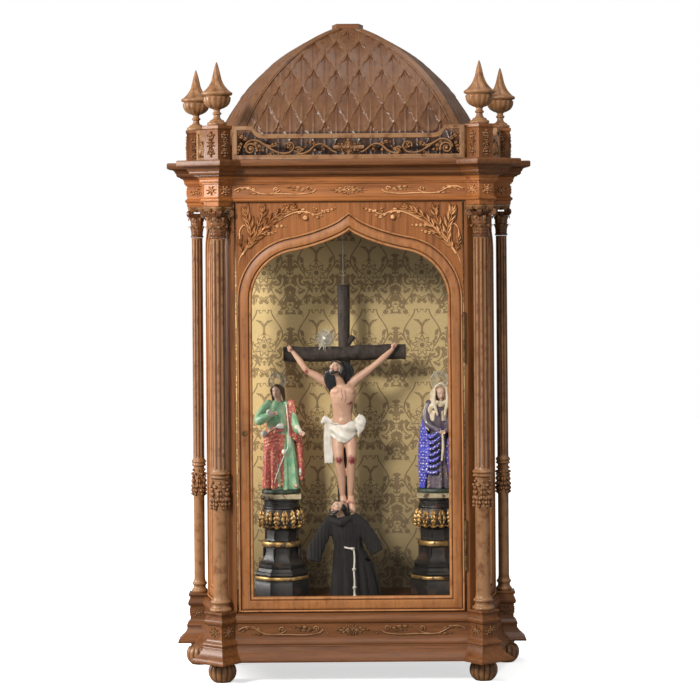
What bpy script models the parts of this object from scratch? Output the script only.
# A glazed home altar: a carved wooden case with four free columns, a domed roof, and a
# crucifix group behind an arched, hinged glass door. Metres, +Z up, the door faces -Y.

import math

import bmesh
import bpy
from mathutils import Vector

# Plan. Depth is measured back from the axes of the front columns.
FRONT_HALF = 0.256        # middle to a front column axis
REAR_SPREAD = 0.056       # rear column axes further out than the front ones
COLUMN_RUN = 0.247        # front axes to rear axes
BLOCK = 0.037             # side of the square blocks on the column axes
BODY_INSET = 0.006        # column axes to the frieze faces
PLINTH_REACH = 0.024      # plinth lip beyond the blocks
CORNICE_REACH = 0.0385    # cornice lip beyond the blocks
WALL = 0.018              # boards of the case
GAP = 0.0003              # clearance between pieces that touch

# Heights, from the floor up.
FOOT_HEIGHT = 0.044
PLINTH_HEIGHT = 0.029
BASE_FRIEZE = 0.043
BASE_MOULD = 0.020
PEDESTAL_CAP = 0.006
CASE_HEIGHT = 0.795
ABACUS = 0.009
STRING_MOULD = 0.010
TOP_FRIEZE = 0.024
LOWER_CORNICE = 0.015
CORNICE = 0.032
GALLERY_HEIGHT = 0.068
FINIAL_HEIGHT = 0.124
FINIAL_RADIUS = 0.0307
FLOOR_BOARD = 0.012

# Feet and columns.
FOOT_RADIUS = 0.0278
FOOT_SETBACK = 0.025
SHAFT_RADIUS = 0.015
REAR_SHAFT_RADIUS = 0.0115
COLUMN_BASE = 0.030
COLUMN_BASE_RADIUS = 0.0215
LOWER_SHAFT = 0.163
LEAF_COLLAR = 0.065
COLLAR_RING = 0.015
CAPITAL_HEIGHT = 0.062
CAPITAL_HALF = 0.0215
PEDESTAL_LIP = 0.003      # pedestal caps beyond the blocks
POST_GAP = 0.0006         # corner posts clear of the caps and capitals
SIDE_INSET = 0.011        # line of the column axes to the side frame's face

# Door.
DOOR_SETBACK = 0.008
DOOR_THICK = 0.022
DOOR_GAP = 0.003
DOOR_STRIP = 0.0345       # front column axes to the door's edges
STILE_WIDTH = 0.0295      # moulding band round the sight opening
DOOR_FIELD = 0.004        # recess of the flat field above the arch
ARCH_HEAD = 0.184         # arch's spring to the top of the case
ARCH_SHARE = 0.708        # rise of the arch as a share of its half width
GLASS = 0.003
REBATE = 0.006
HINGE_LENGTH = 0.098
HINGE_RADIUS = 0.0032
HINGE_LEAF = 0.001
UPPER_HINGE = 0.075       # below the arch's spring
LOWER_HINGE = 0.129       # above the door's foot
KEYHOLE_HEIGHT = 0.351
KEYHOLE_INSET = 0.0135
ESCUTCHEON = 0.0055

# Roof.
DOME_INSET = 0.029        # rear column axes to the dome's rear corners
DOME_TOP_HALF = 0.035     # half width at the top of the rear hips
DOME_SETBACK = 0.052
DOME_DROP = 0.097         # arc centre below the dome's foot
DOME_RISE = 0.268
DOME_WALL = 0.014
DOME_TOP_DEPTH = 0.046
SCALE_PITCH = 0.046
SCALE_RELIEF = 0.0035
HIP_RIB = 0.016
CAP_HEIGHT = 0.0125
CAP_FRONT = 0.045
CAP_REAR = 0.064
GALLERY_BAR = 0.011
GALLERY_RAIL = 0.0095
GALLERY_THICK = 0.010
GALLERY_STEM = 0.0035     # half width of the scrolled stems
GALLERY_EASE = 0.002      # gallery's top below the pinnacle blocks' top
GALLERY_SWEEP = 0.018     # rise of the top rail at its ends
PINNACLE_CAP = 0.006
PINNACLE_LIP = 0.002

# Contents.
CROSS_X = -0.013
CROSS_DEPTH = 0.176
CROSS_RADIUS = 0.013
CROSS_LAP = 0.008         # cross bar's axis in front of the post's
CROSS_TOP = 0.624         # above the floor board
CROSS_BAR_HEIGHT = 0.486
CROSS_BAR_LENGTH = 0.247
BODY_HEIGHT = 0.305       # crucified figure, crown to toes
WIRE_RADIUS = 0.0008
LINING = 0.003
SAINT_X = -0.140
MOURNER_X = 0.172
STATUE_DEPTH = 0.140
STATUE_HEIGHT = 0.205
PEDESTAL_HEIGHT = 0.208
PEDESTAL_RADIUS = 0.056
STATUE_PLATE = 0.008
HALO_RADIUS = 0.0185
HALO_WIRE = 0.0014
NIMBUS_RADIUS = 0.025
NIMBUS_THICK = 0.0015
FRIAR_X = 0.005
FRIAR_HEIGHT = 0.199
FRIAR_DEPTH = 0.098
CORD_RADIUS = 0.00175     # friar's cord

# Worked out from the sizes above.
REAR_HALF = FRONT_HALF + REAR_SPREAD
DOOR_HALF = FRONT_HALF - DOOR_STRIP
DOME_HALF = REAR_HALF - DOME_INSET
CORNER_CLEARANCE = max(BLOCK / 2 + PEDESTAL_LIP, CAPITAL_HALF) + POST_GAP
SPLAY = math.atan2(REAR_HALF - FRONT_HALF, COLUMN_RUN)
BLOCK_TURN = (math.pi / 2 - SPLAY) / 2
BACK_DEPTH = COLUMN_RUN + BLOCK / 2
CORNICE_TIP = (BLOCK / 2 + CORNICE_REACH) * (math.cos(BLOCK_TURN) + math.sin(BLOCK_TURN))
COLUMN_Y = (CORNICE_TIP - COLUMN_RUN - FINIAL_RADIUS) / 2
PLINTH_TOP = FOOT_HEIGHT + PLINTH_HEIGHT
FRIEZE_TOP = PLINTH_TOP + BASE_FRIEZE
BASE_TOP = FRIEZE_TOP + BASE_MOULD
COLUMN_FOOT = BASE_TOP + PEDESTAL_CAP
CASE_TOP = BASE_TOP + CASE_HEIGHT
COLUMN_TOP = CASE_TOP
ENTABLATURE_TOP = CASE_TOP + ABACUS + STRING_MOULD + TOP_FRIEZE + LOWER_CORNICE
ROOF = ENTABLATURE_TOP + CORNICE
PINNACLE_TOP = ROOF + GALLERY_HEIGHT
FLOOR_TOP = BASE_TOP + FLOOR_BOARD
DOOR_TOP = CASE_TOP + ABACUS
SPRING = CASE_TOP - ARCH_HEAD
PANEL_FRONT = BACK_DEPTH - WALL
LINING_FRONT = PANEL_FRONT - LINING
FRONT_AXIS = Vector((FRONT_HALF, 0.0))
REAR_AXIS = Vector((REAR_HALF, COLUMN_RUN))
SIDE_RUN = Vector((math.sin(SPLAY), math.cos(SPLAY)))
SIDE_OUT = Vector((math.cos(SPLAY), -math.sin(SPLAY)))
CORNER_OUT = Vector((math.sin(BLOCK_TURN), -math.cos(BLOCK_TURN)))
HINGE_X = DOOR_HALF + DOOR_GAP / 2
HINGE_DEPTH = DOOR_SETBACK - HINGE_RADIUS - GAP
SIDES = {"left": -1, "right": 1}

# Shoulder, elbow and hand of each arm, in shares of the statue's height.
POINTING_ARMS = (
    ((-0.080, -0.010, 0.790), (-0.178, -0.030, 0.665), (-0.060, -0.110, 0.735)),
    ((0.075, -0.010, 0.790), (0.140, -0.030, 0.650), (0.215, -0.075, 0.545)),
)
CLASPED_ARMS = (
    ((-0.075, -0.010, 0.790), (-0.125, -0.040, 0.625), (0.030, -0.115, 0.555)),
    ((0.080, -0.010, 0.790), (0.140, -0.038, 0.628), (0.075, -0.112, 0.560)),
)
POINTING_HEAD = -0.034
CLASPED_HEAD = 0.039

# The friar's cord: round the waist and down the front, from the middle of his hem.
CORD_ROUTE = (
    (-0.0190, -0.0190, 0.1060), (-0.0110, -0.0245, 0.1045), (-0.0030, -0.0265, 0.1040),
    (0.0000, -0.0275, 0.0980), (0.0005, -0.0305, 0.0800), (-0.0005, -0.0335, 0.0600),
    (0.0005, -0.0355, 0.0400), (0.0000, -0.0370, 0.0210), (0.0005, -0.0375, 0.0060),
)


def clear_scene():
    for item in list(bpy.data.objects):
        bpy.data.objects.remove(item, do_unlink=True)
    for group in list(bpy.data.collections):
        bpy.data.collections.remove(group)


def make_material(name, colour, roughness, metallic=0.0, alpha=1.0):
    material = bpy.data.materials.new(name)
    material.use_nodes = True
    shader = material.node_tree.nodes["Principled BSDF"]
    shader.inputs["Base Color"].default_value = (*colour, 1.0)
    shader.inputs["Roughness"].default_value = roughness
    shader.inputs["Metallic"].default_value = metallic
    shader.inputs["Alpha"].default_value = alpha
    return material


def place(x, depth, z):
    return Vector((x, COLUMN_Y + depth, z))


def add_object(name, mesh, material, smooth=False):
    item = bpy.data.objects.new(name, mesh)
    ALTAR.objects.link(item)
    mesh.materials.clear()
    mesh.materials.append(material)
    if smooth:
        mesh.shade_smooth()
        mesh.set_sharp_from_angle(angle=math.radians(35))
    return item


def split_twisted(work):
    quads = [face for face in work.faces if len(face.verts) == 4]
    bmesh.ops.connect_verts_nonplanar(work, angle_limit=math.radians(0.1), faces=quads)


def mesh_from(name, work):
    """Finish a mesh: twisted quads are split, and all faces face outwards."""
    split_twisted(work)
    bmesh.ops.recalc_face_normals(work, faces=work.faces)
    mesh = bpy.data.meshes.new(name)
    work.to_mesh(mesh)
    work.free()
    return mesh


def loft(name, rings, material, closed=False, smooth=False):
    """Skin rings of equal length; a closed loft joins its last ring to its first."""
    work = bmesh.new()
    loops = [[work.verts.new(point) for point in ring] for ring in rings]
    pairs = list(zip(loops, loops[1:]))
    if closed:
        pairs.append((loops[-1], loops[0]))
    for low, high in pairs:
        for index in range(len(low)):
            after = (index + 1) % len(low)
            work.faces.new((low[index], low[after], high[after], high[index]))
    if not closed:
        work.faces.new(loops[0])
        work.faces.new(loops[-1])
    return add_object(name, mesh_from(name, work), material, smooth)


def box(name, corner, size, material):
    work = bmesh.new()
    bmesh.ops.create_cube(work, size=1.0)
    for vertex in work.verts:
        vertex.co = Vector(corner) + Vector([(c + 0.5) * s for c, s in zip(vertex.co, size)])
    return add_object(name, mesh_from(name, work), material)


def ball(name, centre, radii, material, segments=8, rings=5):
    work = bmesh.new()
    bmesh.ops.create_uvsphere(work, u_segments=segments, v_segments=rings, radius=1.0)
    for vertex in work.verts:
        vertex.co = Vector(centre) + Vector([c * r for c, r in zip(vertex.co, radii)])
    return add_object(name, mesh_from(name, work), material, True)


def prism(name, outline, low, high, material):
    """Upright block over an outline of (x, depth) points."""
    rings = [[place(x, depth, z) for x, depth in outline] for z in (low, high)]
    return loft(name, rings, material)


def turned(name, profile, steps, material):
    """Turn a profile of (radius, height) points, listed from top to bottom."""
    curve = bpy.data.meshes.new(name + "_profile")
    hollow = profile[0] == profile[-1]
    points = [(radius, 0.0, height) for radius, height in (profile[:-1] if hollow else profile)]
    edges = [(index, index + 1) for index in range(len(points) - 1)]
    if hollow:
        edges.append((len(points) - 1, 0))
    curve.from_pydata(points, edges, [])
    item = add_object(name, curve, material, True)
    screw = item.modifiers.new("turn", "SCREW")
    screw.steps = steps
    screw.render_steps = steps
    screw.use_merge_vertices = True
    screw.merge_threshold = 0.00005
    return item


def merge(target, tools, operation="UNION"):
    """Join or cut a piece with others, which are used up."""
    for tool in tools:
        modifier = target.modifiers.new("shape", "BOOLEAN")
        modifier.operation = operation
        modifier.solver = "EXACT"
        modifier.object = tool
    graph = bpy.context.evaluated_depsgraph_get()
    joined = bpy.data.meshes.new_from_object(target.evaluated_get(graph))
    work = bmesh.new()
    work.from_mesh(joined)
    split_twisted(work)
    work.to_mesh(joined)
    work.free()
    target.modifiers.clear()
    target.data = joined
    for tool in tools:
        bpy.data.objects.remove(tool, do_unlink=True)
    return target


def arc(centre, radius, start, stop, count):
    """Points on an arc, angles in degrees."""
    turns = [start + (stop - start) * step / count for step in range(count + 1)]
    return [Vector((centre[0] + radius * math.cos(math.radians(turn)),
                    centre[1] + radius * math.sin(math.radians(turn)))) for turn in turns]


def smooth_path(points, count):
    """Catmull-Rom curve through the points, with count steps to a span."""
    chain = [2 * points[0] - points[1], *points, 2 * points[-1] - points[-2]]
    path = []
    for a, b, c, d in zip(chain, chain[1:], chain[2:], chain[3:]):
        for step in range(count):
            t = step / count
            path.append(0.5 * (2 * b + (c - a) * t + (2 * a - 5 * b + 4 * c - d) * t * t
                               + (3 * b - a - 3 * c + d) * t ** 3))
    path.append(points[-1])
    return path


def offset_outline(points, amounts):
    """Move each edge of a counter-clockwise outline out by its own amount, with mitred corners."""
    moved = []
    count = len(points)
    for index in range(count):
        before = (points[index] - points[index - 1]).normalized()
        after = (points[(index + 1) % count] - points[index]).normalized()
        first = Vector((before.y, -before.x))
        second = Vector((after.y, -after.x))
        low, high = amounts[index - 1], amounts[index]
        across = first.x * second.y - first.y * second.x
        if abs(across) < 0.001:
            moved.append(points[index] + first * high)
            continue
        shift = Vector(((low * second.y - high * first.y) / across,
                        (high * first.x - low * second.x) / across))
        moved.append(points[index] + shift)
    return moved


def square(axis, half, turn, flat_back=False):
    """Counter-clockwise square round an axis; with a flat back its rear edge stays put."""
    corners = []
    for x, y in ((-1, -1), (1, -1), (1, 1), (-1, 1)):
        across = Vector((math.cos(turn), math.sin(turn))) * (x * half)
        along = Vector((-math.sin(turn), math.cos(turn))) * (y * half)
        corners.append(axis + across + along)
    weights = [1, 1, 0, 1] if flat_back else [1, 1, 1, 1]
    return corners, weights


def body_outline(inset):
    """Half of the case's plan is mirrored to a trapezoid with a flat back."""
    front = Vector((FRONT_HALF, 0.0))
    rear = Vector((REAR_HALF, COLUMN_RUN))
    right = [front, rear, Vector((REAR_HALF, BACK_DEPTH))]
    left = [Vector((-point.x, point.y)) for point in reversed(right)]
    weights = [1, 1, 0, 1, 1, 1]
    outline = right + left
    return offset_outline(outline, [-inset * weight for weight in weights]), weights


def moulded(name, shape, profile, material):
    """Stack offset copies of an outline; the profile lists (offset, height)."""
    outline, weights = shape
    rings = []
    for offset, height in profile:
        ring = offset_outline(outline, [offset * weight for weight in weights])
        rings.append([place(point.x, point.y, height) for point in ring])
    return loft(name, rings, material)


def corner_blocks(half):
    """The four blocks on the column axes: front ones turned to the corners, rear ones square."""
    shapes = []
    for sign in SIDES.values():
        front = Vector((sign * FRONT_AXIS.x, FRONT_AXIS.y))
        rear = Vector((sign * REAR_AXIS.x, REAR_AXIS.y))
        shapes.append(square(front, half, sign * BLOCK_TURN))
        shapes.append(square(rear, half, 0.0, flat_back=True))
    return shapes


def ribbon(name, path, widths, low, high, frame, material):
    """Carved, ridged stem of changing width along a flat path; frame maps (x, z) and rise."""
    rings = []
    last = len(path) - 1
    for index, point in enumerate(path):
        ahead = path[min(index + 1, last)] - path[max(index - 1, 0)]
        side = Vector((-ahead.y, ahead.x)).normalized()
        half = widths(index / last)
        left, right = point + side * half, point - side * half
        rings.append([frame(left, low), frame(right, low), frame(point, high)])
    return loft(name, rings, material)


def front_frame(depth):
    """Frame for carving on a face that looks to -Y; rise stands out of it."""
    return lambda point, rise: place(point.x, depth - rise, point.y)


def scroll(centre, radius, start, turn, count, shrink=0.25):
    """Spiral that winds in to its eye; turn is signed, in degrees."""
    points = []
    for step in range(count + 1):
        share = step / count
        angle = math.radians(start + turn * share)
        reach = radius * (1 - (1 - shrink) * share)
        points.append(centre + Vector((reach * math.cos(angle), reach * math.sin(angle))))
    return points


def leaf_scroll(name, sign, inner, outer, middle, height, frame, material):
    """One S-scroll of a frieze: a stem that winds into a volute at each end."""
    start = scroll(Vector((inner, middle)), height / 2, 90, 300, 5)
    finish = scroll(Vector((outer, middle)), height / 2, -90, 300, 5)
    path = list(reversed(start)) + finish
    path = [Vector((sign * point.x, point.y)) for point in path]
    return ribbon(name, path, lambda t: height * 0.13, -0.001, 0.004, frame, material)


def rosette(name, middle, width, height, frame, material, lobes=10):
    """Flat cluster of pointed leaves round a boss."""
    outline = []
    for index in range(lobes):
        angle = math.tau * index / lobes
        reach = 1.0 if index % 2 == 0 else 0.6
        outline.append(Vector((math.cos(angle) * width / 2, math.sin(angle) * height / 2)) * reach)
    levels = ((1.0, -0.001), (0.35, 0.005))
    rings = [[frame(middle + point * scale, rise) for point in outline] for scale, rise in levels]
    return loft(name, rings, material)


def make_feet(wood):
    """Bun feet with radial leaves."""
    profile = ((0.60, 0.0), (0.88, 0.18), (1.0, 0.45), (0.90, 0.74), (0.62, 1.0))
    sides = 10
    for name, sign in SIDES.items():
        spots = {"front": (FRONT_HALF, FOOT_SETBACK), "rear": (REAR_HALF, COLUMN_RUN - FOOT_SETBACK)}
        for end, (x, depth) in spots.items():
            rings = []
            for share, level in profile:
                ring = []
                for index in range(sides):
                    leaf = 1.0 if index % 2 == 0 or level in (0.0, 1.0) else 0.93
                    angle = math.tau * index / sides
                    reach = FOOT_RADIUS * share * leaf
                    ring.append(Vector((reach * math.cos(angle), reach * math.sin(angle),
                                        level * (FOOT_HEIGHT - GAP))))
                rings.append(ring)
            foot = loft(f"foot_{end}_{name}", rings, wood, smooth=True)
            foot.location = place(sign * x, depth, 0.0)


def frieze_carving(name, middle, height, reach, frame, material):
    """Centre leaf cluster and an S-scroll on each side of it."""
    pieces = [rosette(name + "_leaf", Vector((0.0, middle)), height * 2.0, height, frame, material)]
    for label, sign in SIDES.items():
        pieces.append(leaf_scroll(f"{name}_{label}", sign, reach * 0.36, reach * 0.84, middle, height,
                                  frame, material))
    return pieces


def make_base(wood):
    """Hollow base with a sloped plinth; its blocks rise to pedestal caps."""
    lip, slope = PLINTH_REACH, PLINTH_HEIGHT
    body_profile = (
        (lip, FOOT_HEIGHT), (lip, FOOT_HEIGHT + slope * 0.20), (lip * 0.70, FOOT_HEIGHT + slope * 0.38),
        (0.004, PLINTH_TOP), (0.004, PLINTH_TOP + 0.006), (0.0, PLINTH_TOP + 0.010),
        (0.0, FRIEZE_TOP), (0.0045, FRIEZE_TOP + 0.003), (0.0045, FRIEZE_TOP + 0.009),
        (0.001, BASE_TOP),
    )
    block_profile = body_profile[:-1] + ((0.001, BASE_TOP + 0.001), (PEDESTAL_LIP, COLUMN_FOOT))
    base = moulded("base", body_outline(BODY_INSET), body_profile, wood)
    blocks = [moulded("block", shape, block_profile, wood) for shape in corner_blocks(BLOCK / 2)]
    carving = frieze_carving("base_carving", PLINTH_TOP + 0.010 + (BASE_FRIEZE - 0.010) / 2, 0.022,
                             FRONT_HALF - BLOCK, front_frame(BODY_INSET), wood)
    merge(base, blocks + carving)
    hollow = body_outline(BODY_INSET + WALL)[0]
    hollow = [Vector((point.x, min(point.y, BACK_DEPTH - WALL))) for point in hollow]
    merge(base, [prism("hollow", hollow, FOOT_HEIGHT - 0.01, BASE_TOP + 0.01, wood)], "DIFFERENCE")
    return base


def make_entablature(wood):
    """Frieze ring with string moulding, over the abacus blocks."""
    low = CASE_TOP + ABACUS
    frieze = low + STRING_MOULD
    corona = frieze + TOP_FRIEZE
    profile = (
        (0.001, low), (0.004, low + 0.002), (0.004, low + 0.006), (0.0, low + 0.009),
        (0.0, corona), (0.004, corona + 0.004), (0.010, ENTABLATURE_TOP),
    )
    block_profile = ((0.0, CASE_TOP),) + profile[1:]
    ring = moulded("entablature", body_outline(BODY_INSET), profile, wood)
    blocks = [moulded("block", shape, block_profile, wood) for shape in corner_blocks(BLOCK / 2)]
    carving = frieze_carving("top_carving", frieze + TOP_FRIEZE / 2, 0.018, FRONT_HALF - BLOCK,
                             front_frame(BODY_INSET), wood)
    merge(ring, blocks + carving)
    hollow = body_outline(BODY_INSET + WALL)[0]
    hollow = [Vector((point.x, min(point.y, BACK_DEPTH - WALL))) for point in hollow]
    merge(ring, [prism("hollow", hollow, CASE_TOP - 0.01, ENTABLATURE_TOP + 0.01, wood)], "DIFFERENCE")
    return ring


def make_cornice(wood):
    """Roof board with its projecting cornice."""
    reach = CORNICE_REACH
    low = ENTABLATURE_TOP + GAP
    profile = (
        (0.012, low), (0.015, low + CORNICE * 0.16), (reach * 0.50, low + CORNICE * 0.22),
        (reach * 0.54, low + CORNICE * 0.40), (reach * 0.72, low + CORNICE * 0.55),
        (reach, low + CORNICE * 0.68), (reach, ROOF),
    )
    cornice = moulded("cornice", body_outline(BODY_INSET), profile, wood)
    blocks = [moulded("block", shape, profile, wood) for shape in corner_blocks(BLOCK / 2)]
    return merge(cornice, blocks)


def column_rings(radius, foot, top):
    """Sections of a column as (height, radius, kind)."""
    base = COLUMN_BASE_RADIUS * radius / SHAFT_RADIUS
    collar = foot + COLUMN_BASE + LOWER_SHAFT
    ring = collar + LEAF_COLLAR
    flutes = ring + COLLAR_RING
    return (
        (foot, base, "round"), (foot + COLUMN_BASE * 0.20, base, "round"),
        (foot + COLUMN_BASE * 0.37, base * 0.75, "round"), (foot + COLUMN_BASE * 0.63, base * 0.88, "round"),
        (foot + COLUMN_BASE, radius * 0.95, "round"), (collar, radius * 0.95, "round"),
        (collar + LEAF_COLLAR * 0.30, radius * 1.35, "leaf"),
        (collar + LEAF_COLLAR * 0.50, radius * 1.10, "leaf"),
        (collar + LEAF_COLLAR * 0.85, radius * 1.42, "leaf"),
        (ring + COLLAR_RING * 0.20, radius * 1.30, "round"),
        (flutes - COLLAR_RING * 0.25, radius * 1.30, "round"),
        (flutes, radius, "flute"), (top, radius, "flute"),
    )


def column_spots():
    """Name, side, axis and shaft radius of each column."""
    ends = (("front", FRONT_AXIS, SHAFT_RADIUS), ("rear", REAR_AXIS, REAR_SHAFT_RADIUS))
    return [(f"{end}_{name}", sign, axis, radius) for name, sign in SIDES.items() for end, axis, radius in ends]


def make_columns(wood):
    """Shafts with a moulded base, a leaf collar and flutes above it."""
    sides = 12
    dips = {"round": 1.0, "leaf": 0.80, "flute": 0.86}
    foot = COLUMN_FOOT + GAP
    top = COLUMN_TOP - CAPITAL_HEIGHT - GAP
    for name, sign, axis, radius in column_spots():
        rings = []
        for height, reach, kind in column_rings(radius, foot, top):
            ring = []
            for index in range(sides):
                angle = math.tau * index / sides
                dip = 1.0 if index % 2 == 0 else dips[kind]
                ring.append(Vector((reach * dip * math.cos(angle), reach * dip * math.sin(angle), height)))
            rings.append(ring)
        column = loft(f"column_{name}", rings, wood, smooth=True)
        column.location = place(sign * axis.x, axis.y, 0.0)


def capital_ring(height, reach, kind):
    """Section of a capital: round, leafy, or a square with hollow sides and volutes."""
    ring = []
    shares = {"round": (1, 1, 1), "leaf": (1.08, 0.84, 0.84), "volute": (1.36, 0.92, 0.92),
              "abacus": (1.36, 1.02, 1.02)}
    for index in range(12):
        angle = math.tau * index / 12 + math.pi / 4
        share = shares[kind][index % 3]
        ring.append(Vector((reach * share * math.cos(angle), reach * share * math.sin(angle), height)))
    return ring


def make_capitals(wood):
    """Two tiers of leaves, corner volutes and an abacus."""
    height = CAPITAL_HEIGHT - 2 * GAP
    levels = (
        (0.0, 0.72, "round"), (0.08, 0.72, "round"), (0.11, 0.62, "round"), (0.36, 0.90, "leaf"),
        (0.40, 0.70, "round"), (0.64, 0.98, "leaf"), (0.74, 0.96, "volute"), (1.0, 1.0, "abacus"),
    )
    for name, sign, axis, radius in column_spots():
        half = CAPITAL_HALF * radius / SHAFT_RADIUS
        rings = [capital_ring(height * level, half * reach, kind) for level, reach, kind in levels]
        capital = loft(f"capital_{name}", rings, wood, smooth=True)
        capital.location = place(sign * axis.x, axis.y, COLUMN_TOP - CAPITAL_HEIGHT + GAP)
        capital.rotation_euler.z = sign * BLOCK_TURN if axis == FRONT_AXIS else 0.0


def make_pinnacles(wood):
    """Carved blocks on the roof's corners, with their turned finials."""
    sides = 8
    levels = (
        (0.60, 0.0, 1.0), (0.60, 0.07, 1.0), (0.21, 0.135, 1.0), (0.30, 0.19, 1.0), (0.21, 0.245, 1.0),
        (0.72, 0.31, 0.88), (0.88, 0.42, 0.86), (1.0, 0.48, 1.0), (1.0, 0.53, 1.0), (0.62, 0.60, 0.80),
        (0.38, 0.70, 0.76), (0.24, 0.84, 0.76), (0.04, 1.0, 1.0),
    )
    for name, sign in SIDES.items():
        for end, axis, turn, second in (("front", FRONT_AXIS, sign * BLOCK_TURN, -sign),
                                        ("rear", REAR_AXIS, 0.0, sign)):
            spot = Vector((sign * axis.x, axis.y))
            half = BLOCK / 2
            profile = ((0.0, ROOF + GAP), (0.0, PINNACLE_TOP - PINNACLE_CAP - PINNACLE_LIP),
                       (PINNACLE_LIP, PINNACLE_TOP - PINNACLE_CAP), (PINNACLE_LIP, PINNACLE_TOP))
            block = moulded(f"pinnacle_block_{end}_{name}", square(spot, half, turn), profile, wood)
            leaves = []
            for quarter in (0, second):
                face = turn + quarter * math.pi / 2
                outward = Vector((math.sin(face), -math.cos(face)))
                across = Vector((math.cos(face), math.sin(face)))
                centre = Vector((0.0, (ROOF + PINNACLE_TOP - PINNACLE_CAP) / 2))

                def frame(point, rise, across=across, outward=outward, spot=spot, half=half):
                    flat = spot + across * point.x + outward * (half + rise)
                    return place(flat.x, flat.y, point.y)
                leaves.append(rosette("leaf", centre, BLOCK * 0.7, GALLERY_HEIGHT * 0.66, frame, wood, 8))
            merge(block, leaves)
            rings = []
            for order, (share, level, dip) in enumerate(levels):
                height = level * (FINIAL_HEIGHT - GAP)
                twist = max(0, order - 8) * 0.45
                ring = []
                for index in range(sides):
                    angle = math.tau * index / sides + twist
                    out = FINIAL_RADIUS * share * (1.0 if index % 2 == 0 else dip)
                    ring.append(Vector((out * math.cos(angle), out * math.sin(angle), height)))
                rings.append(ring)
            finial = loft(f"finial_{end}_{name}", rings, wood, smooth=True)
            finial.location = place(spot.x, spot.y, PINNACLE_TOP + GAP)


def ogee(half, spring, foot, reach=0.0, steps=5):
    """Outline of an arched opening with an ogee head, counter-clockwise in (x, z)."""
    rise = half * ARCH_SHARE
    curve = half * 0.505
    right = [Vector((half, foot))]
    right += arc((half - curve, spring), curve, 0, 80, steps)
    start = right[-1]
    tip = Vector((0.0, spring + rise))
    first = start + Vector((-math.sin(math.radians(80)), math.cos(math.radians(80)))) * half * 0.235
    second = tip + Vector((0.78, -0.62)) * half * 0.115
    for step in range(1, steps):
        t = step / (steps - 1)
        right.append((1 - t) ** 3 * start + 3 * t * (1 - t) ** 2 * first
                     + 3 * t * t * (1 - t) * second + t ** 3 * tip)
    left = [Vector((-point.x, point.y)) for point in reversed(right[:-1])]
    outline = right + left
    return offset_outline(outline, [reach] * len(outline))


def frame_ring(name, outline, profile, frame, material):
    """Moulding swept round an outline; the profile lists (offset, rise)."""
    rings = []
    for offset, rise in profile:
        moved = offset_outline(outline, [offset] * len(outline))
        rings.append([frame(point, rise) for point in moved])
    return loft(name, rings, material, closed=True)


def glazed_frame(name, half, sight, levels, frame, band, steps, wood, glass):
    """Board with a rebated ogee opening, a raised moulding band round it, and its pane."""
    low, high, spring = levels
    foot = low + STILE_WIDTH
    corners = ((-half, low), (half, low), (half, high), (-half, high))
    board = [[frame(Vector(corner), rise) for corner in corners] for rise in (-DOOR_THICK, -DOOR_FIELD)]
    panel = loft(name, board, wood)
    opening = ogee(sight, spring, foot, 0.0, steps)
    ring = frame_ring("band", opening, band, frame, wood)
    through = [[frame(point, rise) for point in opening] for rise in (-DOOR_THICK - 0.01, 0.01)]
    rebated = ogee(sight, spring, foot, REBATE, steps)
    behind = [[frame(point, rise) for point in rebated] for rise in (-DOOR_THICK - 0.01, -DOOR_THICK * 0.6)]
    for cut in (through, behind):
        merge(panel, [loft("cut", cut, wood)], "DIFFERENCE")
    merge(panel, [ring])
    outline = ogee(sight, spring, foot, REBATE - GAP, steps)
    seat = -DOOR_THICK * 0.6 - GAP
    rings = [[frame(point, rise) for point in outline] for rise in (seat - GLASS, seat)]
    loft(name.replace("frame", "glass"), rings, glass)
    return panel


def band_profile(rich):
    """Section of the moulding band as (offset from the sight opening, rise)."""
    band = STILE_WIDTH - 0.0005
    root = -DOOR_THICK * 0.42
    middle = ((band * 0.30, -0.0005), (band * 0.80, -0.0025)) if rich else ()
    return ((-0.0006, root), (0.002, -0.0032), *middle, (band, 0.0), (band, root))


def spray(name, sign, frame, material):
    """Acanthus spray in the field above the arch, from a calyx at the jamb."""
    root = Vector((DOOR_HALF - 0.012, DOOR_TOP - 0.115))
    stems = (
        ((0.0, 0.0), (-0.004, 0.034), (-0.030, 0.066)),
        ((-0.004, 0.004), (-0.035, 0.052), (-0.085, 0.084)),
        ((-0.010, 0.006), (-0.060, 0.056), (-0.115, 0.078), (-0.180, 0.090)),
    )
    pieces = []
    for index, stem in enumerate(stems):
        points = [root + Vector(step) for step in stem]
        path = [Vector((sign * point.x, point.y)) for point in smooth_path(points, 2)]
        pieces.append(ribbon(f"{name}_{index}", path, lambda t: 0.0085 * (1 - 0.75 * t), -0.001, 0.004,
                             frame, material))
    return pieces


def make_door(wood, glass, brass):
    """Hinged door: arched frame, glass, keyhole plate and the moving hinge leaves."""
    low = BASE_TOP + 0.001
    high = DOOR_TOP - 0.001
    sight = DOOR_HALF - STILE_WIDTH
    frame = front_frame(DOOR_SETBACK)
    levels = (low, high, SPRING)
    door = glazed_frame("door_frame", DOOR_HALF, sight, levels, frame, band_profile(True), 5, wood, glass)
    field = front_frame(DOOR_SETBACK + DOOR_FIELD)
    carving = []
    for label, sign in SIDES.items():
        carving += spray(f"spray_{label}", sign, field, wood)
    merge(door, carving)
    plate = turned("escutcheon", ((0.4 * ESCUTCHEON, 0.001), (ESCUTCHEON, 0.001), (ESCUTCHEON, 0.0),
                                  (0.4 * ESCUTCHEON, 0.0), (0.4 * ESCUTCHEON, 0.001)), 8, brass)
    plate.rotation_euler.x = math.pi / 2
    plate.location = place(KEYHOLE_INSET - DOOR_HALF, DOOR_SETBACK - GAP, low + KEYHOLE_HEIGHT)
    make_hinges(low, brass)


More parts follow.
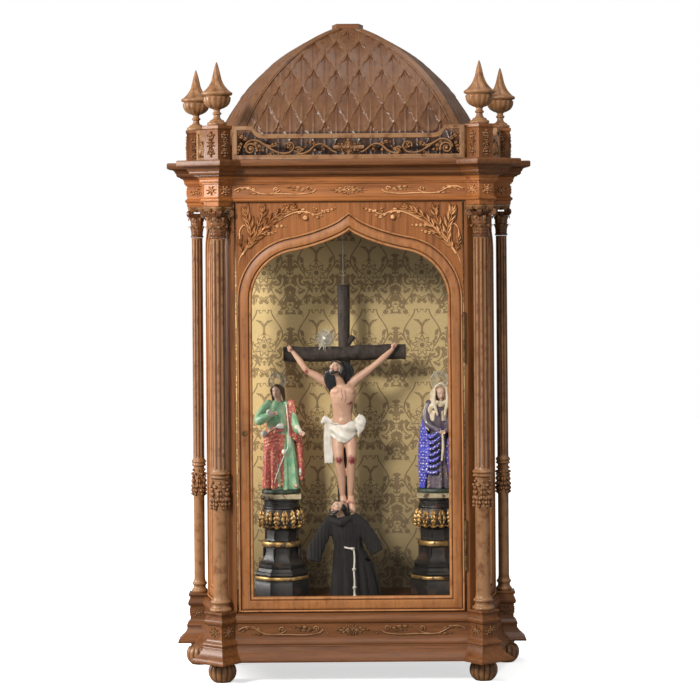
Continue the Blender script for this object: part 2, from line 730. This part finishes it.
def barrel(name, low, high, material, clearance=0.0):
    work = bmesh.new()
    radius = HINGE_RADIUS + clearance
    bmesh.ops.create_cone(work, cap_ends=True, segments=6, radius1=radius, radius2=radius, depth=high - low)
    item = add_object(name, mesh_from(name, work), material, True)
    item.location = place(HINGE_X, HINGE_DEPTH, (low + high) / 2)
    return item


def make_hinges(door_foot, brass):
    """Butt hinges: outer knuckles on the case, the middle one on the door."""
    third = HINGE_LENGTH / 3
    reach = DOOR_THICK - 0.002
    for name, centre in (("upper", SPRING - UPPER_HINGE), ("lower", door_foot + LOWER_HINGE)):
        low = centre - HINGE_LENGTH / 2
        case_x = HINGE_X + GAP
        door_x = HINGE_X - GAP - HINGE_LEAF
        depth = COLUMN_Y + HINGE_DEPTH
        fixed = box(f"hinge_case_{name}", (case_x, depth, low), (HINGE_LEAF, reach, HINGE_LENGTH), brass)
        moving = box(f"hinge_door_{name}", (door_x, depth, low), (HINGE_LEAF, reach, HINGE_LENGTH), brass)
        middle = barrel("middle_space", low + third - GAP, low + 2 * third + GAP, brass, 2 * GAP)
        merge(fixed, [middle], "DIFFERENCE")
        merge(fixed, [barrel("knuckle", low, low + third - GAP, brass)])
        merge(fixed, [barrel("knuckle", low + 2 * third + GAP, low + HINGE_LENGTH, brass)])
        for start in (low - GAP, low + 2 * third):
            merge(moving, [barrel("end_space", start, start + third + GAP, brass, 2 * GAP)], "DIFFERENCE")
        merge(moving, [barrel("knuckle", low + third + GAP, low + 2 * third - GAP, brass)])


def side_frame_axes(sign):
    """Ends of a side frame's outer face in plan, and its frame for (along, z, rise)."""
    front = FRONT_AXIS - SIDE_OUT * SIDE_INSET
    slack = CORNER_CLEARANCE - SIDE_INSET * CORNER_OUT.dot(SIDE_OUT)
    start = slack / -CORNER_OUT.dot(SIDE_RUN)
    length = (REAR_AXIS - FRONT_AXIS).length
    stop = length - CORNER_CLEARANCE * (SIDE_RUN.x + SIDE_RUN.y)
    begin = front + SIDE_RUN * start
    end = front + SIDE_RUN * stop
    middle = (begin + end) / 2
    half = (stop - start) / 2 - GAP

    def frame(point, rise):
        flat = middle + SIDE_RUN * point.x + SIDE_OUT * rise
        return place(sign * flat.x, flat.y, point.y)
    return begin, end, half, frame


def make_case(wood, glass, cloth):
    """Floor, back, damask lining, posts and glazed side frames."""
    low = BASE_TOP + GAP
    high = DOOR_TOP - GAP
    posts = {}
    for name, sign in SIDES.items():
        begin, end, half, frame = side_frame_axes(sign)
        sight = half - STILE_WIDTH
        levels = (low, high, SPRING + (DOOR_HALF - STILE_WIDTH - sight) * ARCH_SHARE)
        glazed_frame(f"side_frame_{name}", half, sight, levels, frame, band_profile(False), 4, wood, glass)
        edge = DOOR_HALF + DOOR_GAP
        corner = FRONT_HALF - (CORNER_CLEARANCE - DOOR_SETBACK * math.cos(BLOCK_TURN)) / math.sin(BLOCK_TURN)
        back = begin - SIDE_OUT * DOOR_THICK
        stile = [Vector((edge, DOOR_SETBACK)), Vector((corner, DOOR_SETBACK)), begin, back,
                 Vector((edge, max(back.y, DOOR_SETBACK + DOOR_THICK)))]
        rear_x = REAR_HALF - CORNER_CLEARANCE
        corner = end - SIDE_OUT * ((end.x - rear_x) / SIDE_OUT.x)
        inside = end - SIDE_OUT * DOOR_THICK
        post = [corner, Vector((rear_x, BACK_DEPTH)), Vector((inside.x, BACK_DEPTH)), inside]
        posts[name] = inside.x
        for label, outline in (("front_stile", stile), ("rear_post", post)):
            outline = [Vector((sign * point.x, point.y)) for point in outline]
            prism(f"{label}_{name}", outline, low, high, wood)
    half = posts["right"] - GAP
    box("back_panel", place(-half, PANEL_FRONT, low), (2 * half, WALL, high - low), wood)
    box("damask_lining", place(-half, LINING_FRONT - GAP, FLOOR_TOP + GAP),
        (2 * half, LINING, high - FLOOR_TOP - GAP), cloth)
    begin = DOOR_SETBACK + DOOR_THICK + DOOR_GAP / 2
    sides = FRONT_HALF - (SIDE_INSET + DOOR_THICK) / math.cos(SPLAY) + begin * math.tan(SPLAY) - 2 * GAP
    narrow = min(sides, DOOR_HALF)
    outline = [Vector((-narrow, begin)), Vector((narrow, begin)), Vector((half - GAP, PANEL_FRONT - GAP)),
               Vector((GAP - half, PANEL_FRONT - GAP))]
    prism("floor_board", outline, BASE_TOP + GAP, FLOOR_TOP, wood)


def dome_half(height):
    """Half width of the dome's rear hips, an arc, at a height above its foot."""
    squares = DOME_HALF ** 2 - DOME_TOP_HALF ** 2 + DOME_DROP ** 2 - (DOME_RISE + DOME_DROP) ** 2
    centre = squares / (2 * (DOME_HALF - DOME_TOP_HALF))
    radius = math.hypot(DOME_HALF - centre, DOME_DROP)
    return centre + math.sqrt(radius ** 2 - (height + DOME_DROP) ** 2)


def dome_depth(height):
    """Front to back at a height above the foot."""
    share = (dome_half(height) - dome_half(DOME_RISE)) / (DOME_HALF - dome_half(DOME_RISE))
    full = PANEL_FRONT - DOME_SETBACK
    return DOME_TOP_DEPTH + (full - DOME_TOP_DEPTH) * share


def dome_sections(levels, wall, front_extra):
    """Splayed sections of the dome, less a wall, as rings of four corners."""
    rings = []
    for height in levels:
        rear = dome_half(height) - wall
        depth = dome_depth(height) - wall
        front = rear - (dome_depth(height) - wall) * math.tan(SPLAY)
        low = PANEL_FRONT - depth - front_extra
        reach = front - front_extra * math.tan(SPLAY)
        back = PANEL_FRONT - wall
        z = ROOF + GAP + height
        rings.append([place(-reach, low, z), place(reach, low, z), place(rear, back, z),
                      place(-rear, back, z)])
    return rings


def make_dome(wood):
    """Hollow roof: scaled front, splayed sides, flat back, hip ribs and a top block."""
    count = 8
    levels = [DOME_RISE * math.sin(math.pi / 2 * step / count) for step in range(count + 1)]
    body = loft("dome", dome_sections(levels, 0.0, 0.06), wood)
    columns = 2 * math.ceil(DOME_HALF / (SCALE_PITCH / 2))
    lowest, highest = -0.02, DOME_RISE + 0.02
    lengths = [max(0.0, min(DOME_RISE, height)) for height in levels]
    rings = []
    for column in range(columns + 1):
        x = (column - columns / 2) * SCALE_PITCH / 2
        ring = []
        for row, height in enumerate(lengths):
            relief = SCALE_RELIEF if (row + column) % 2 == 0 else 0.0
            ring.append(place(x, PANEL_FRONT - dome_depth(height) - relief, ROOF + GAP + height))
        ring[0].z += lowest
        ring[-1].z = ROOF + highest
        ring.append(place(x, PANEL_FRONT + 0.02, ROOF + highest))
        ring.append(place(x, PANEL_FRONT + 0.02, ROOF + lowest))
        rings.append(ring)
    front = loft("front", rings, wood)
    merge(body, [front], "INTERSECT")
    ribs = []
    for sign in SIDES.values():
        sections = []
        for height in levels[:-1]:
            depth = dome_depth(height)
            edge = dome_half(height) - depth * math.tan(SPLAY)
            face = PANEL_FRONT - depth
            z = ROOF + GAP + height
            corners = ((edge + 0.0015, face + 0.004), (edge + 0.0015, face - 0.005),
                       (edge - HIP_RIB, face - 0.005), (edge - HIP_RIB, face + 0.004))
            sections.append([place(sign * x, y, z) for x, y in corners])
        ribs.append(loft("rib", sections, wood))
    merge(body, ribs)
    inner = [height for height in levels[:-2]]
    cavity = dome_sections(inner, DOME_WALL, 0.0)
    for corner in cavity[0]:
        corner.z -= 0.01
    merge(body, [loft("cavity", cavity, wood)], "DIFFERENCE")
    top = ROOF + DOME_RISE + 2 * GAP
    back = PANEL_FRONT
    block = [Vector((-CAP_FRONT / 2, back - DOME_TOP_DEPTH)), Vector((CAP_FRONT / 2, back - DOME_TOP_DEPTH)),
             Vector((CAP_REAR / 2, back)), Vector((-CAP_REAR / 2, back))]
    prism("dome_cap", block, top, top + CAP_HEIGHT, wood)


def gallery_outline(half, frame, low, wood, name):
    """Rails and end stiles of a gallery, the top rail swept up at its ends."""
    bar = GALLERY_BAR
    top = GALLERY_HEIGHT - GALLERY_EASE
    rail = top - GALLERY_SWEEP
    curve = arc((half - bar - GALLERY_SWEEP, top), GALLERY_SWEEP, 0, -90, 3)
    edge = [Vector((half, 0.0)), Vector((half, top)), *curve]
    hole = [Vector((half - bar, GALLERY_RAIL)), Vector((half - bar, top - bar)),
            Vector((half - bar - GALLERY_SWEEP * 0.5, top - bar)),
            Vector((half - bar - GALLERY_SWEEP * 1.2, rail - GALLERY_RAIL))]
    solid = []
    for side, thick in ((edge, GALLERY_THICK / 2), (hole, GALLERY_THICK)):
        outline = side + [Vector((-point.x, point.y)) for point in reversed(side)]
        rings = [[frame(point + Vector((0.0, low)), rise) for point in outline] for rise in (-thick, thick)]
        solid.append(loft(name, rings, wood))
    return merge(solid[0], solid[1:], "DIFFERENCE")


def gallery_stem(path, layer, frame, wood):
    """Scrolled stem between the rails, ridged to the front; crossing stems differ in layer."""
    depth = GALLERY_THICK * (0.36 - 0.04 * layer)
    return ribbon("stem", path, lambda t: GALLERY_STEM * (1 - 0.5 * t), -depth, depth, frame, wood)


def make_galleries(wood):
    """Pierced galleries between the pinnacle blocks: scrolls in the front one, plainer at the sides."""
    low = ROOF + GAP
    room = GALLERY_HEIGHT - GALLERY_EASE - GALLERY_SWEEP - 2 * GALLERY_RAIL
    middle = low + GALLERY_RAIL + room / 2
    corner = (BLOCK / 2 + PINNACLE_LIP) * (math.cos(BLOCK_TURN) + math.sin(BLOCK_TURN)) + 2 * GAP
    reach = FRONT_HALF - corner
    frame = front_frame(0.0)
    front = gallery_outline(reach, frame, low, wood, "gallery_front")
    medal_width = room * 2.1
    tools = [rosette("medal", Vector((0.0, middle)), medal_width, room * 1.25, front_frame(0.003), wood)]
    span = reach - GALLERY_BAR - medal_width / 2
    for sign in SIDES.values():
        def spot(share, level, sign=sign):
            return Vector((sign * (medal_width * 0.4 + span * share), middle + room * level))
        volute = scroll(spot(0.84, 0.0), room * 0.5, 90, sign * 330, 7, 0.38)
        tools.append(gallery_stem(volute, 0, frame, wood))
        stems = ((spot(0.84, 0.48), spot(0.68, 0.30), spot(0.52, -0.50), spot(0.41, -0.42), spot(0.38, 0.25),
                  spot(0.46, 0.15)),
                 (spot(0.40, -0.45), spot(0.28, -0.50), spot(0.14, 0.42), spot(-0.05, 0.0)),
                 (spot(0.86, 0.45), spot(1.0, -0.56)))
        for layer, points in enumerate(stems, 1):
            tools.append(gallery_stem(smooth_path(points, 2), layer, frame, wood))
    for tool in tools:
        merge(front, [tool])
    for name, sign in SIDES.items():
        centre = (FRONT_AXIS + REAR_AXIS) / 2
        half = (REAR_AXIS - FRONT_AXIS).length / 2 - corner

        def side(point, rise, sign=sign, centre=centre):
            flat = centre + SIDE_RUN * point.x + SIDE_OUT * rise
            return place(sign * flat.x, flat.y, point.y)
        gallery = gallery_outline(half, side, low, wood, f"gallery_{name}")
        shares = ((-0.84, -0.60), (-0.5, 0.42), (-0.2, -0.42), (0.2, 0.42), (0.5, -0.42), (0.84, 0.60))
        points = [Vector((half * share, middle + room * level)) for share, level in shares]
        merge(gallery, [gallery_stem(smooth_path(points, 2), 0, side, wood)])


def limb(name, points, radii, sides, material, squash=1.0):
    """Rounded limb along points in the part's own frame; squash narrows it front to back."""
    rings = []
    last = len(points) - 1
    for index, (point, radius) in enumerate(zip(points, radii)):
        ahead = (points[min(index + 1, last)] - points[max(index - 1, 0)]).normalized()
        across = ahead.cross(Vector((0.0, 1.0, 0.0)))
        if across.length < 0.2:
            across = ahead.cross(Vector((1.0, 0.0, 0.0)))
        across.normalize()
        other = across.cross(ahead)
        ring = []
        for step in range(sides):
            angle = math.tau * step / sides
            ring.append(point + across * radius * math.cos(angle) + other * radius * squash * math.sin(angle))
        rings.append(ring)
    return loft(name, rings, material, smooth=True)


def make_cross(bark):
    """Cross of two knotty logs with a short branch stub."""
    foot = FLOOR_TOP + GAP
    knots = (1.0, 0.9, 1.08, 0.93, 1.05, 0.95, 0.9)
    points = [place(CROSS_X, CROSS_DEPTH, foot + CROSS_TOP * step / 6) for step in range(7)]
    cross = limb("cross", points, [CROSS_RADIUS * knot for knot in knots], 7, bark)
    arm_z = foot + CROSS_BAR_HEIGHT
    half = CROSS_BAR_LENGTH / 2
    fore = CROSS_DEPTH - CROSS_LAP
    arm = [place(CROSS_X + 0.002 + half * share, fore, arm_z) for share in (-1, -0.5, 0, 0.5, 1)]
    bar = limb("bar", arm, [CROSS_RADIUS * knot for knot in (1.1, 0.95, 1.1, 0.95, 1.15)], 6, bark)
    stub = [place(CROSS_X, CROSS_DEPTH, arm_z + 0.005), place(CROSS_X + 0.026, fore, arm_z + 0.024)]
    merge(cross, [bar, limb("stub", stub, [0.006, 0.005], 5, bark)])
    return arm_z


def make_crucified(arm_z, flesh, metal):
    """Crucified figure in front of the cross, with its nimbus behind the head."""
    front = CROSS_DEPTH - CROSS_LAP - CROSS_RADIUS * 1.15 - 2 * GAP
    tall = BODY_HEIGHT

    def spot(x, z, forward):
        return place(CROSS_X + x * tall, front - forward * tall, arm_z + z * tall)

    def part_of(name, points, radii, sides, squash=1.0):
        radii = [tall * radius for radius in radii]
        return limb(name, [spot(*point) for point in points], radii, sides, flesh, squash)
    trunk = ((-0.005, -0.575, 0.075), (-0.006, -0.500, 0.075), (-0.010, -0.430, 0.072),
             (-0.012, -0.330, 0.080), (-0.014, -0.240, 0.082), (-0.022, -0.180, 0.078), (-0.024, -0.150, 0.075))
    figure = part_of("crucified_figure", trunk, (0.062, 0.070, 0.060, 0.070, 0.080, 0.074, 0.045), 8, 0.72)
    pieces = [
        part_of("cloth", ((0.000, -0.590, 0.080), (-0.005, -0.520, 0.080), (-0.010, -0.420, 0.080)),
                (0.088, 0.090, 0.072), 8, 0.72),
        part_of("neck", ((-0.022, -0.170, 0.075), (-0.045, -0.110, 0.085)), (0.036, 0.032), 6),
        part_of("hanging_end", ((-0.075, -0.430, 0.08), (-0.108, -0.520, 0.06), (-0.112, -0.715, 0.06)),
                (0.022, 0.036, 0.045), 6, 0.6),
        part_of("left_arm", ((-0.060, -0.200, 0.08), (-0.242, -0.110, 0.05), (-0.330, -0.012, 0.026),
                             (-0.358, 0.026, 0.030)), (0.048, 0.029, 0.020, 0.024), 5),
        part_of("right_arm", ((0.015, -0.195, 0.08), (0.186, -0.102, 0.05), (0.300, 0.010, 0.026),
                              (0.340, 0.048, 0.030)), (0.048, 0.029, 0.020, 0.024), 5),
        part_of("left_leg", ((-0.044, -0.570, 0.08), (-0.040, -0.705, 0.10), (-0.004, -0.950, 0.03),
                             (0.012, -1.030, 0.045)), (0.056, 0.043, 0.026, 0.025), 5),
        part_of("right_leg", ((0.036, -0.570, 0.08), (0.040, -0.705, 0.10), (0.022, -0.960, 0.04),
                              (0.024, -1.040, 0.055)), (0.055, 0.043, 0.026, 0.024), 5),
        ball("head", spot(-0.053, -0.095, 0.10), (tall * 0.052, tall * 0.058, tall * 0.070), flesh),
        ball("hair", spot(-0.050, -0.100, 0.072), (tall * 0.068, tall * 0.050, tall * 0.082), flesh),
    ]
    for piece in pieces:
        merge(figure, [piece])
    rays = 24
    centre = spot(-0.121, 0.098, 0.0)
    outline = []
    for index in range(rays):
        angle = math.tau * index / rays
        reach = NIMBUS_RADIUS * (1.0 if index % 2 == 0 else 0.72)
        outline.append((centre.x + reach * math.cos(angle), centre.z + reach * math.sin(angle)))
    rings = [[place(x, front - rise, z) for x, z in outline] for rise in (NIMBUS_THICK, 0.0)]
    loft("nimbus", rings, metal)


def make_statue_pedestal(name, x, wood):
    """Black faceted pedestal with a ring of leaves and a square top slab."""
    height = PEDESTAL_HEIGHT - GAP
    profile = ((0.0, 1.0), (0.72, 1.0), (0.72, 0.957), (0.64, 0.95), (0.64, 0.88), (0.89, 0.82),
               (0.86, 0.73), (0.60, 0.67), (0.60, 0.567), (0.76, 0.548), (0.76, 0.50), (0.62, 0.49),
               (0.78, 0.337), (0.96, 0.25), (0.98, 0.19), (1.0, 0.185), (1.0, 0.0), (0.0, 0.0))
    outline = [(PEDESTAL_RADIUS * radius, height * level) for radius, level in profile]
    pedestal = turned(name, outline, 8, wood)
    pedestal.location = place(x, STATUE_DEPTH, FLOOR_TOP + GAP)


def make_statue(name, x, head_x, poses, material, metal):
    """Robed standing figure on a small plate, with a ring halo over the head."""
    tall = STATUE_HEIGHT
    folds = 10
    levels = ((0.0, 0.112, 0.10), (0.12, 0.104, 0.10), (0.34, 0.098, 0.10), (0.54, 0.088, 0.08),
              (0.72, 0.087, 0.04), (0.83, 0.076, 0.02), (0.875, 0.030, 0.0))
    rings = []
    for level, radius, fold in levels:
        ring = []
        for index in range(folds):
            angle = math.tau * index / folds
            reach = tall * radius * (1 + (fold if index % 2 == 0 else -fold))
            ring.append(Vector((reach * 1.08 * math.cos(angle), reach * 0.74 * math.sin(angle),
                                STATUE_PLATE + tall * 0.98 * level)))
        rings.append(ring)
    figure = loft(name, rings, material, smooth=True)
    head = Vector((head_x * tall, -tall * 0.03, tall * 0.94))
    tools = [
        ball("head", head, (tall * 0.058, tall * 0.066, tall * 0.075), material),
        box("plate", (-0.127 * tall, -0.107 * tall, 0.0), (0.254 * tall, 0.214 * tall, 1.1 * STATUE_PLATE),
            material),
    ]
    for joints in poses:
        points = [Vector(joint) * tall for joint in joints]
        tools.append(limb("arm", points, [tall * 0.042, tall * 0.042, tall * 0.024], 5, material))
    for tool in tools:
        merge(figure, [tool])
    foot = FLOOR_TOP + PEDESTAL_HEIGHT + GAP
    figure.location = place(x, STATUE_DEPTH, foot)
    sides = 14
    rings = []
    for index in range(sides):
        angle = math.tau * index / sides
        spoke = Vector((math.cos(angle), 0.0, math.sin(angle)))
        rings.append([spoke * (HALO_RADIUS - 2 * HALO_WIRE) + Vector((0.0, -HALO_WIRE, 0.0)),
                      spoke * HALO_RADIUS,
                      spoke * (HALO_RADIUS - 2 * HALO_WIRE) + Vector((0.0, HALO_WIRE, 0.0))])
    halo = loft(f"{name}_halo", rings, metal, closed=True)
    halo.location = place(x + head.x, STATUE_DEPTH + tall * 0.06, foot + tall + HALO_RADIUS)


def make_friar(cloth, flesh):
    """Small friar in a wide-sleeved habit, looking up; he leans to the left."""
    foot = FLOOR_TOP + GAP
    tall = FRIAR_HEIGHT
    folds = 12
    levels = ((0.0, 0.215, 0.07, 0.0), (0.32, 0.190, 0.07, -0.010), (0.52, 0.150, 0.04, -0.040),
              (0.62, 0.150, 0.03, -0.060), (0.72, 0.145, 0.0, -0.085), (0.79, 0.065, 0.0, -0.110))
    rings = []
    for level, radius, fold, lean in levels:
        ring = []
        for index in range(folds):
            angle = math.tau * index / folds
            reach = tall * radius * (1 + (fold if index % 2 == 0 else -fold))
            ring.append(place(FRIAR_X + tall * lean + reach * math.cos(angle),
                              FRIAR_DEPTH + reach * 0.62 * math.sin(angle), foot + tall * level))
        rings.append(ring)
    habit = loft("friar_habit", rings, cloth, smooth=True)
    sleeves = (
        ((-0.165, 0.00, 0.690), (-0.250, -0.02, 0.520), (-0.260, -0.05, 0.250)),
        ((0.010, 0.00, 0.690), (0.140, -0.02, 0.540), (0.190, -0.05, 0.300)),
    )
    for sleeve in sleeves:
        points = [place(FRIAR_X, FRIAR_DEPTH, foot) + Vector(joint) * tall for joint in sleeve]
        merge(habit, [limb("sleeve", points, [tall * 0.065, tall * 0.080, tall * 0.095], 6, cloth, 0.6)])
    neck_x = FRIAR_X - tall * 0.110
    head = place(neck_x - tall * 0.035, FRIAR_DEPTH - 0.004, foot + tall * 0.895)
    figure = ball("friar_head", head, (tall * 0.075, tall * 0.085, tall * 0.10), flesh)
    neck = [place(neck_x, FRIAR_DEPTH, foot + tall * level) for level in (0.792, 0.86)]
    merge(figure, [limb("neck", neck, [tall * 0.045, tall * 0.04], 6, flesh)])


def make_friar_cord(rope):
    """Knotted cord along its route, read from a smooth curve through the route's points."""
    path = smooth_path([Vector(point) for point in CORD_ROUTE], 2)
    curve = bpy.data.curves.new("friar_cord", "CURVE")
    curve.dimensions = "3D"
    curve.bevel_depth = CORD_RADIUS
    curve.bevel_resolution = 2
    curve.use_fill_caps = True
    spline = curve.splines.new("POLY")
    spline.points.add(len(path) - 1)
    for point, spot in zip(spline.points, path):
        point.co = (*spot, 1.0)
    cord = bpy.data.objects.new("friar_cord", curve)
    curve.materials.append(rope)
    ALTAR.objects.link(cord)
    cord.location = place(FRIAR_X, FRIAR_DEPTH, FLOOR_TOP + GAP)


def make_wire(rope):
    """Taut wire from the cross's top to the roof board."""
    low = FLOOR_TOP + CROSS_TOP + 2 * GAP
    high = ENTABLATURE_TOP - GAP
    work = bmesh.new()
    bmesh.ops.create_cone(work, cap_ends=True, segments=6, radius1=WIRE_RADIUS, radius2=WIRE_RADIUS,
                          depth=high - low)
    wire = add_object("hanging_wire", mesh_from("hanging_wire", work), rope)
    wire.location = place(CROSS_X, CROSS_DEPTH, (low + high) / 2)


clear_scene()
ALTAR = bpy.data.collections.new("home_altar")
bpy.context.scene.collection.children.link(ALTAR)

CARVED_WOOD = make_material("carved_wood", (0.30, 0.13, 0.055), 0.42)
DARK_WOOD = make_material("dark_wood", (0.03, 0.022, 0.018), 0.40)
CLEAR_GLASS = make_material("clear_glass", (0.95, 0.97, 0.97), 0.05, alpha=0.2)
BRASS = make_material("brass", (0.45, 0.30, 0.12), 0.40, metallic=1.0)
SILVER = make_material("silver", (0.60, 0.58, 0.52), 0.35, metallic=1.0)
DAMASK = make_material("damask", (0.55, 0.42, 0.16), 0.55)
FLESH = make_material("painted_flesh", (0.62, 0.38, 0.25), 0.45)
SAINT_PAINT = make_material("saint_paint", (0.12, 0.35, 0.16), 0.45)
MOURNER_PAINT = make_material("mourner_paint", (0.04, 0.07, 0.35), 0.45)
BLACK_CLOTH = make_material("black_cloth", (0.015, 0.015, 0.016), 0.9)
ROPE = make_material("white_cord", (0.75, 0.72, 0.65), 0.8)

make_feet(CARVED_WOOD)
make_base(CARVED_WOOD)
make_entablature(CARVED_WOOD)
make_cornice(CARVED_WOOD)
make_columns(CARVED_WOOD)
make_capitals(CARVED_WOOD)
make_pinnacles(CARVED_WOOD)
make_galleries(CARVED_WOOD)
make_dome(CARVED_WOOD)
make_case(CARVED_WOOD, CLEAR_GLASS, DAMASK)
make_door(CARVED_WOOD, CLEAR_GLASS, BRASS)
BAR_HEIGHT = make_cross(DARK_WOOD)
make_crucified(BAR_HEIGHT, FLESH, SILVER)
make_statue_pedestal("pedestal_left", SAINT_X, DARK_WOOD)
make_statue_pedestal("pedestal_right", MOURNER_X, DARK_WOOD)
make_statue("saint", SAINT_X, POINTING_HEAD, POINTING_ARMS, SAINT_PAINT, SILVER)
make_statue("mourner", MOURNER_X, CLASPED_HEAD, CLASPED_ARMS, MOURNER_PAINT, SILVER)
make_friar(BLACK_CLOTH, FLESH)
make_friar_cord(ROPE)
make_wire(ROPE)
